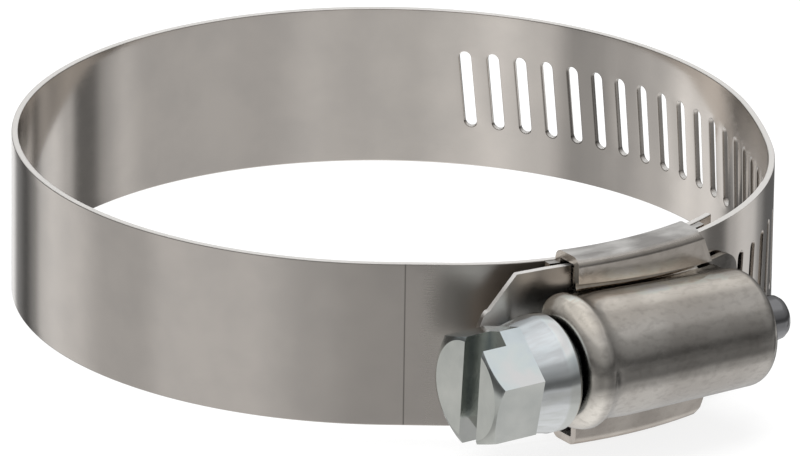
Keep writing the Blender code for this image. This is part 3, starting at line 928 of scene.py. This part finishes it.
def crease_shade(nodes, links, colour, reach, dark, light, tint):
    """Painted shade: darken and tint the colour where a surface within reach (millimetres) closes
    in on it.
    """
    shade = nodes.new('ShaderNodeAmbientOcclusion')
    shade.samples = 8
    shade.inputs['Distance'].default_value = reach * MM
    open_air = range_node(nodes, links, shade.outputs['AO'], dark, light)
    painted_shade = colour_mix(nodes, links, 1.0, colour, tint, 'MULTIPLY')
    return colour_mix(nodes, links, open_air, painted_shade, colour)


def noise(nodes, links, vector, scale, detail, stretch=(1.0, 1.0, 1.0)):
    """Noise with features of about 1 / scale metres."""
    mapping = nodes.new('ShaderNodeMapping')
    mapping.inputs['Scale'].default_value = stretch
    links.new(vector, mapping.inputs['Vector'])
    node = nodes.new('ShaderNodeTexNoise')
    node.inputs['Scale'].default_value = scale
    node.inputs['Detail'].default_value = detail
    links.new(mapping.outputs['Vector'], node.inputs['Vector'])
    return node.outputs['Fac']


def steel_base(nodes, links, bsdf, colour, dark, rough, spread, grain, scale, bump):
    """Cloudy tone, stretched grain in the roughness and a fine bump; returns colour and coords."""
    coords = nodes.new('ShaderNodeTexCoord')
    where = coords.outputs['Object']
    fine = noise(nodes, links, where, scale, 4.0, grain)
    cloud = noise(nodes, links, where, 260.0, 3.0)
    tone = range_node(nodes, links, cloud, 0.35, 0.65)
    base = colour_mix(nodes, links, tone, dark, colour)
    roughness = range_node(nodes, links, fine, 0.3, 0.7, rough - spread, rough + spread)
    links.new(roughness, bsdf.inputs['Roughness'])
    node = nodes.new('ShaderNodeBump')
    node.inputs['Strength'].default_value = bump
    node.inputs['Distance'].default_value = 0.00002
    links.new(fine, node.inputs['Height'])
    links.new(node.outputs['Normal'], bsdf.inputs['Normal'])
    return base, roughness, coords


# painted reflections on the inside of the ring: its brightness by angle from +X
INNER_REFLECTION_STOPS = (
    (-30, 0.95), (-20, 0.9), (-12, 1.3), (-4, 1.2), (0, 1.4), (8, 1.2), (15, 0.95), (20, 0.66),
    (24, 0.62), (30, 1.15), (40, 1.5), (56, 1.62), (66, 1.4), (74, 1.22), (84, 1.34),
    (102, 1.34), (110, 1.0), (118, 1.1), (150, 0.9), (300, 1.0))
TONE_START = 36          # degrees before +X where that list starts, clear of its first stop
SCRIBED = 238.4          # ring angle of the fine upright line scribed on the outside


def band_material():
    """Rolled strip: mirror-like faces, pale sheared edges, painted reflections inside the ring."""
    mat, nodes, links, bsdf = shader('band_steel')
    base, roughness, coords = steel_base(
        nodes, links, bsdf, colour=(0.58, 0.54, 0.50), dark=(0.54, 0.505, 0.47), rough=0.125,
        spread=0.02, grain=(1.0, 1.0, 12.0), scale=900.0, bump=0.04)
    away = nodes.new('ShaderNodeVectorMath')
    away.operation = 'SUBTRACT'
    away.inputs[1].default_value = world((0, 0, ZC))
    links.new(coords.outputs['Object'], away.inputs[0])
    facing = nodes.new('ShaderNodeVectorMath')
    facing.operation = 'DOT_PRODUCT'
    links.new(away.outputs['Vector'], facing.inputs[0])
    links.new(coords.outputs['Normal'], facing.inputs[1])
    inside = range_node(nodes, links, facing.outputs['Value'], 0.002, -0.002)
    x, y, _ = components(nodes, links, away.outputs['Vector'])
    start = TONE_START / 360
    share = turn_share(nodes, links, x, y, start)
    # painted reflections: the inside of the ring is made lighter and darker by ring angle
    inner_reflection = ramp(nodes, links, share, [(at + TONE_START, tone) for at, tone in INNER_REFLECTION_STOPS],
                 360, 1.7)
    tone = colour_mix(nodes, links, inside, (1.0, 1.0, 1.0), inner_reflection)
    face = colour_mix(nodes, links, 1.0, base, tone, 'MULTIPLY')
    beside = math_node(nodes, links, 'ABSOLUTE',
                       math_node(nodes, links, 'SUBTRACT', share, SCRIBED / 360 + start))
    scribe = math_node(nodes, links, 'MULTIPLY',
                       range_node(nodes, links, beside, 0.0004, 0.0001, 0.0, 0.7),
                       range_node(nodes, links, inside, 1.0, 0.0))
    face = colour_mix(nodes, links, scribe, face, (0.12, 0.11, 0.10))
    up = components(nodes, links, coords.outputs['Normal'])[2]
    rim = range_node(nodes, links, math_node(nodes, links, 'ABSOLUTE', up), 0.45, 0.8)
    links.new(colour_mix(nodes, links, rim, face, (0.60, 0.585, 0.565)), bsdf.inputs['Base Color'])
    # handled dull in front, left of the screw
    worn = math_node(nodes, links, 'MULTIPLY',
                     range_node(nodes, links, y, -0.0220, -0.0262, 0.0, 0.19),
                     range_node(nodes, links, x, 0.0, -0.006))
    duller = math_node(nodes, links, 'MULTIPLY_ADD', rim, 0.4, worn)
    links.new(math_node(nodes, links, 'ADD', roughness, duller), bsdf.inputs['Roughness'])
    links.new(range_node(nodes, links, rim, 0.0, 1.0, 1.0, 0.25), bsdf.inputs['Metallic'])
    return mat


# painted reflections on the pressed housing by how far its skin faces up:
# bright on the flanks and at the top, a dark band along the middle
FACING_REFLECTION_STOPS = (
    (-1.0, 0.85), (-0.77, 0.86), (-0.5, 0.95), (-0.34, 0.98), (-0.17, 0.78), (-0.05, 0.44),
    (0.08, 0.48), (0.17, 0.85), (0.3, 0.94), (0.64, 0.95), (0.86, 0.92), (0.94, 1.35), (1.0, 1.8))
FOLD_MIDDLE = 7.0        # height in the frame, in millimetres, halfway between the folds
FOLD_FROM = 4.0          # the sheet is made brighter on the folds from this far above and below it
FOLD_FULL = 4.8


def pressed_steel(name, colour, dark, fold_tint):
    """Satin, pitted sheet, with painted shade where it folds in on itself, and brighter on the
    folds.

    Returns the material, its shader, and the colour, roughness and coordinates to go on from."""
    mat, nodes, links, bsdf = shader(name)
    base, roughness, coords = steel_base(
        nodes, links, bsdf, colour=colour, dark=dark, rough=0.19, spread=0.06,
        grain=(1.0, 2.5, 2.5), scale=900.0, bump=0.16)
    pits = noise(nodes, links, coords.outputs['Object'], 1500.0, 8.0, (1.0, 1.6, 1.6))
    base = colour_mix(nodes, links, range_node(nodes, links, pits, 0.36, 0.5),
                      colour_mix(nodes, links, 0.2, base, (0.24, 0.22, 0.20)), base)
    # painted shade, tinted brown, where the sheet closes in on itself
    face = crease_shade(nodes, links, base, 0.9, 0.1, 0.6, (0.42, 0.34, 0.27))
    z = components(nodes, links, coords.outputs['Object'])[2]
    beyond = math_node(nodes, links, 'ABSOLUTE',
                       math_node(nodes, links, 'SUBTRACT', z, FOLD_MIDDLE * MM))
    fold = range_node(nodes, links, beyond, FOLD_FROM * MM, FOLD_FULL * MM)
    return mat, bsdf, tinted(nodes, links, fold, face, fold_tint), roughness, coords


def saddle_material():
    """The folded tabs: dull and smudged on top."""
    mat, bsdf, face, roughness, coords = pressed_steel(
        'saddle_steel', (0.42, 0.40, 0.375), (0.34, 0.32, 0.30), (1.6, 1.55, 1.5))
    nodes = mat.node_tree.nodes
    links = mat.node_tree.links
    up = components(nodes, links, coords.outputs['Normal'])[2]
    top = range_node(nodes, links, up, 0.5, 0.85)
    smudge = noise(nodes, links, coords.outputs['Object'], 620.0, 4.0, (0.4, 1.0, 1.0))
    web = colour_mix(nodes, links, range_node(nodes, links, smudge, 0.38, 0.6),
                     (0.25, 0.24, 0.23), (0.47, 0.46, 0.445))
    links.new(colour_mix(nodes, links, top, face, web), bsdf.inputs['Base Color'])
    links.new(range_node(nodes, links, top, 0.0, 1.0, 1.0, 0.35), bsdf.inputs['Metallic'])
    links.new(math_node(nodes, links, 'MULTIPLY_ADD', top, 0.3, roughness),
              bsdf.inputs['Roughness'])
    return mat


def housing_material():
    """The formed housing: painted reflections by the way its skin faces, and a painted highlight on
    the lip at the front.
    """
    mat, bsdf, face, _, coords = pressed_steel(
        'pressed_steel', (0.60, 0.57, 0.53), (0.49, 0.46, 0.425), (1.1, 1.08, 1.05))
    nodes = mat.node_tree.nodes
    links = mat.node_tree.links
    ahead, _, up = components(nodes, links, coords.outputs['Normal'])
    height = math_node(nodes, links, 'MULTIPLY', math_node(nodes, links, 'ADD', up, 1.0), 0.5)
    # painted reflections: the skin is made darker and brighter by how far it faces up
    facing_reflection = ramp(nodes, links, height, [(at + 1, tone) for at, tone in FACING_REFLECTION_STOPS], 2, 2.0)
    face = colour_mix(nodes, links, 1.0, face, facing_reflection, 'MULTIPLY')
    # painted highlight: faces of the rolled lip turned partly forward are made brighter
    lip = math_node(nodes, links, 'MULTIPLY',
                    range_node(nodes, links, ahead, -0.15, -0.45),
                    range_node(nodes, links, ahead, -0.97, -0.85))
    links.new(tinted(nodes, links, lip, face, (1.5, 1.5, 1.48)), bsdf.inputs['Base Color'])
    return mat


TIP_TONE_X = 7.0         # the screw's tip is left dark past this, in the frame


def zinc_material():
    """Bright zinc plate with painted shade in the recesses, a painted highlight on faces that look
    up and painted shade on faces that look out of the head's end; ribbed by turning on the cone.
    """
    mat, nodes, links, bsdf = shader('zinc_plate')
    base, _, coords = steel_base(
        nodes, links, bsdf, colour=(0.70, 0.71, 0.68), dark=(0.56, 0.58, 0.56), rough=0.12,
        spread=0.05, grain=(1.0, 1.0, 1.0), scale=1300.0, bump=0.14)
    # painted shade, tinted blue, in the recesses
    face = crease_shade(nodes, links, base, 1.6, 0.2, 0.8, (0.42, 0.48, 0.56))
    ahead, _, up = components(nodes, links, coords.outputs['Normal'])
    # painted highlight: faces that look up at rest are made brighter and bluer
    face = tinted(nodes, links, range_node(nodes, links, up, 0.0, 0.6), face, (1.45, 1.54, 1.66))
    # painted shade: faces that look out of the head's end are made darker
    face = tinted(nodes, links, range_node(nodes, links, ahead, -0.7, -0.95), face,
                  (0.74, 0.74, 0.72))
    cone = math_node(nodes, links, 'MULTIPLY',
                     range_node(nodes, links, ahead, -0.1, -0.16),
                     range_node(nodes, links, ahead, -0.55, -0.4))
    rib = noise(nodes, links, coords.outputs['Object'], 2600.0, 1.0, (0.12, 1.0, 1.0))
    ribbed = range_node(nodes, links, rib, 0.3, 0.65, 0.3, 0.8)
    face = colour_mix(nodes, links, math_node(nodes, links, 'MULTIPLY', cone, ribbed), face,
                      (0.78, 0.80, 0.82))
    x = components(nodes, links, coords.outputs['Object'])[0]
    tip = range_node(nodes, links, x, TIP_TONE_X * MM, (TIP_TONE_X + 0.2) * MM)
    links.new(colour_mix(nodes, links, tip, face, (0.30, 0.30, 0.31)), bsdf.inputs['Base Color'])
    return mat


# ---- light, floor, camera ----
# the studio seen in the steel: brightness by compass angle from +X, near the floor's edge
SIDE_LIGHT = (
    (0, 0.70), (6, 0.85), (14, 0.75), (20, 0.35), (28, 0.14), (45, 0.12), (55, 0.85),
    (70, 1.0), (80, 0.26), (90, 0.10), (98, 0.30), (104, 0.75), (112, 0.92), (124, 0.83),
    (140, 0.58), (155, 0.58), (165, 0.74), (195, 0.72), (215, 0.54), (228, 0.44),
    (240, 0.44), (262, 0.54), (284, 0.47), (318, 0.45), (328, 0.56), (338, 0.46), (343, 0.18),
    (351, 0.16), (356, 0.60))
# its brightness by elevation in degrees, and how much SIDE_LIGHT counts there
RISE_LIGHT = (
    (-90, 0.85), (-56, 0.76), (-46, 0.74), (-38, 0.56), (-25, 0.46), (-12, 0.18), (0, 0.12),
    (14, 0.27), (30, 0.38), (43, 0.66), (54, 0.62), (90, 0.80))
SIDE_SHARE = ((-90, 0.0), (-32, 0.0), (-26, 1.0), (-15, 1.0), (-8, 0.0), (90, 0.0))


def build_world():
    """A soft studio: bright overhead, a pale floor glow, flags and lamps round the sides."""
    sky = bpy.data.worlds.new('studio')
    bpy.context.scene.world = sky
    sky.use_nodes = True
    nodes = sky.node_tree.nodes
    links = sky.node_tree.links
    nodes.clear()
    coords = nodes.new('ShaderNodeTexCoord')
    x, y, z = components(nodes, links, coords.outputs['Generated'])
    side = ramp(nodes, links, turn_share(nodes, links, x, y, 0.0), SIDE_LIGHT, 360)
    height = math_node(nodes, links, 'MULTIPLY_ADD', z, 0.5, 0.5)

    def by_height(stops):
        """Grey by elevation; height grows with its sine."""
        return ramp(nodes, links, height,
                    [((math.sin(rad(at)) + 1) / 2, grey) for at, grey in stops], 1)

    glow = colour_mix(nodes, links, by_height(SIDE_SHARE), by_height(RISE_LIGHT), side)
    lit = nodes.new('ShaderNodeBackground')
    links.new(glow, lit.inputs['Color'])
    seen = nodes.new('ShaderNodeBackground')
    seen.inputs['Color'].default_value = (1, 1, 1, 1)
    path = nodes.new('ShaderNodeLightPath')
    both = nodes.new('ShaderNodeMixShader')
    links.new(path.outputs['Is Camera Ray'], both.inputs['Fac'])
    links.new(lit.outputs['Background'], both.inputs[1])
    links.new(seen.outputs['Background'], both.inputs[2])
    out = nodes.new('ShaderNodeOutputWorld')
    links.new(both.outputs['Shader'], out.inputs['Surface'])


def build_stage():
    """White paper floor that glows a little, and a disk lamp overhead."""
    bm = bmesh.new()
    bmesh.ops.create_grid(bm, x_segments=4, y_segments=4, size=1.5)
    mesh = bpy.data.meshes.new('floor')
    bm.to_mesh(mesh)
    bm.free()
    mat, nodes, links, bsdf = shader('floor_paper', 0.0)
    bsdf.inputs['Roughness'].default_value = 0.9
    coords = nodes.new('ShaderNodeTexCoord')
    fibre = noise(nodes, links, coords.outputs['Object'], 4000.0, 3.0)
    links.new(colour_mix(nodes, links, fibre, (0.20, 0.20, 0.20), (0.21, 0.21, 0.209)),
              bsdf.inputs['Base Color'])
    bsdf.inputs['Emission Color'].default_value = (1, 1, 1, 1)
    bsdf.inputs['Emission Strength'].default_value = 0.84
    floor = link('floor', mesh, mat)
    floor.visible_glossy = False
    lamp = bpy.data.lights.new('overhead', 'AREA')
    lamp.shape = 'DISK'
    lamp.size = 0.5
    lamp.energy = 3.2
    obj = bpy.data.objects.new('overhead', lamp)
    obj.location = (0.05, 0.05, 0.55)
    obj.visible_glossy = False
    bpy.context.scene.collection.objects.link(obj)


AIM = (1.76, 0.72, 4.25)  # point the camera looks at, about the ring's centre
DISTANCE = 765.7         # and how far away it stands
AZIMUTH = 55.42          # degrees: direction it looks in, from +X
ELEVATION = 20.54        # how far it looks down
ROLL = 0.81
LENS = 453.5


def build_camera():
    """Long lens, 20 degrees above the floor, from the screw's head side."""
    data = bpy.data.cameras.new('camera')
    cam = bpy.data.objects.new('camera', data)
    bpy.context.scene.collection.objects.link(cam)
    bpy.context.scene.camera = cam
    data.sensor_width = 36.0
    data.lens = LENS
    data.clip_start = 0.01
    data.clip_end = 10.0
    flat = math.cos(rad(ELEVATION))
    forward = Vector((flat * heading(rad(AZIMUTH))[0], flat * heading(rad(AZIMUTH))[1],
                      -math.sin(rad(ELEVATION))))
    level = forward.cross(Vector((0, 0, 1))).normalized()
    right = level * math.cos(rad(ROLL)) + level.cross(forward) * math.sin(rad(ROLL))
    up = right.cross(forward).normalized()
    turn = Matrix((right, up, -forward)).transposed().to_4x4()
    cam.matrix_world = Matrix.Translation(world(Vector(AIM) - forward * DISTANCE)) @ turn


def main():
    """The clamp's pieces, then light, floor and camera."""
    scene = bpy.context.scene
    scene.view_settings.view_transform = 'Standard'
    scene.view_settings.look = 'None'
    build_band(band_material())
    build_saddle(saddle_material())
    build_housing(housing_material())
    build_screw(zinc_material())
    build_world()
    build_stage()
    build_camera()


main()
